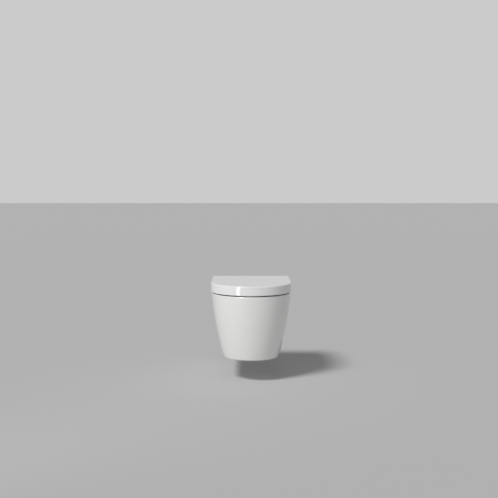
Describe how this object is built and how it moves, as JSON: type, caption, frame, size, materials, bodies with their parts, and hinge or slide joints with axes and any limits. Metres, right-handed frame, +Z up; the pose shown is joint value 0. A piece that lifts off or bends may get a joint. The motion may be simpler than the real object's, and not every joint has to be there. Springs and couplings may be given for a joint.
{
  "type": "wall hung toilet",
  "caption": "Closed-sided wall hung toilet pan in white glazed china, with a D-shaped wrap-over lid, a seat ring, soft-close hinges, a trap and concealed wall fixings.",
  "frame": {"origin": "on the wall plane, midway between the two wall fixing studs", "axes": "+Y into the wall, +X to the right of a person who faces the wall, +Z up"},
  "size_m": [0.37, 0.57, 0.344],
  "materials": {
    "glazed_china": "smooth glossy white glaze",
    "lid_plastic": "polished white moulded thermoset",
    "seat_plastic": "polished white moulded thermoset",
    "cap_plastic": "glossy white moulded plastic",
    "bracket_plastic": "glass-filled moulded plastic, matt",
    "distributor_plastic": "satin moulded plastic",
    "nylon": "natural nylon, satin",
    "damper_plastic": "satin moulded plastic",
    "hinge_chrome": "polished chrome plate",
    "pin_steel": "ground stainless steel",
    "zinc_steel": "zinc-plated steel",
    "black_rubber": "moulded rubber, matt",
    "bumper_rubber": "soft translucent grey rubber, matt"
  },
  "bodies": {
    "pan": {"bowl": "glazed_china", "wall_bracket_left": "bracket_plastic", "wall_bracket_right": "bracket_plastic", "stud_washers": "zinc_steel", "stud_nuts": "zinc_steel", "side_sleeves": "nylon", "side_screws": "zinc_steel", "screw_cap_left": "cap_plastic", "screw_cap_right": "cap_plastic", "flush_distributor": "distributor_plastic", "hinge_post_left": "hinge_chrome", "hinge_post_right": "hinge_chrome", "hinge_gaskets": "black_rubber", "expanding_plugs": "black_rubber", "plug_nuts": "zinc_steel", "hinge_bolts": "zinc_steel", "hinge_pin_left": "pin_steel", "hinge_pin_right": "pin_steel", "pin_clips": "zinc_steel"},
    "seat": {"seat_ring": "seat_plastic", "seat_bumper_front_left": "bumper_rubber", "seat_bumper_front_right": "bumper_rubber", "seat_bumper_rear_left": "bumper_rubber", "seat_bumper_rear_right": "bumper_rubber", "seat_damper": "damper_plastic", "seat_bush": "nylon"},
    "lid": {"lid_shell": "lid_plastic", "lid_bumper_front_left": "bumper_rubber", "lid_bumper_front_right": "bumper_rubber", "lid_bumper_rear_left": "bumper_rubber", "lid_bumper_rear_right": "bumper_rubber", "lid_damper": "damper_plastic", "lid_bush": "nylon"}
  },
  "joints": [
    {"name": "seat_hinge", "type": "hinge", "parent": "pan", "child": "seat", "pos_m": [0, -0.113, 0.1165], "axis": [-1, 0, 0], "range_deg": [0, 95]},
    {"name": "lid_hinge", "type": "hinge", "parent": "seat", "child": "lid", "pos_m": [0, -0.113, 0.1165], "axis": [-1, 0, 0], "range_deg": [0, 95]}
  ]
}
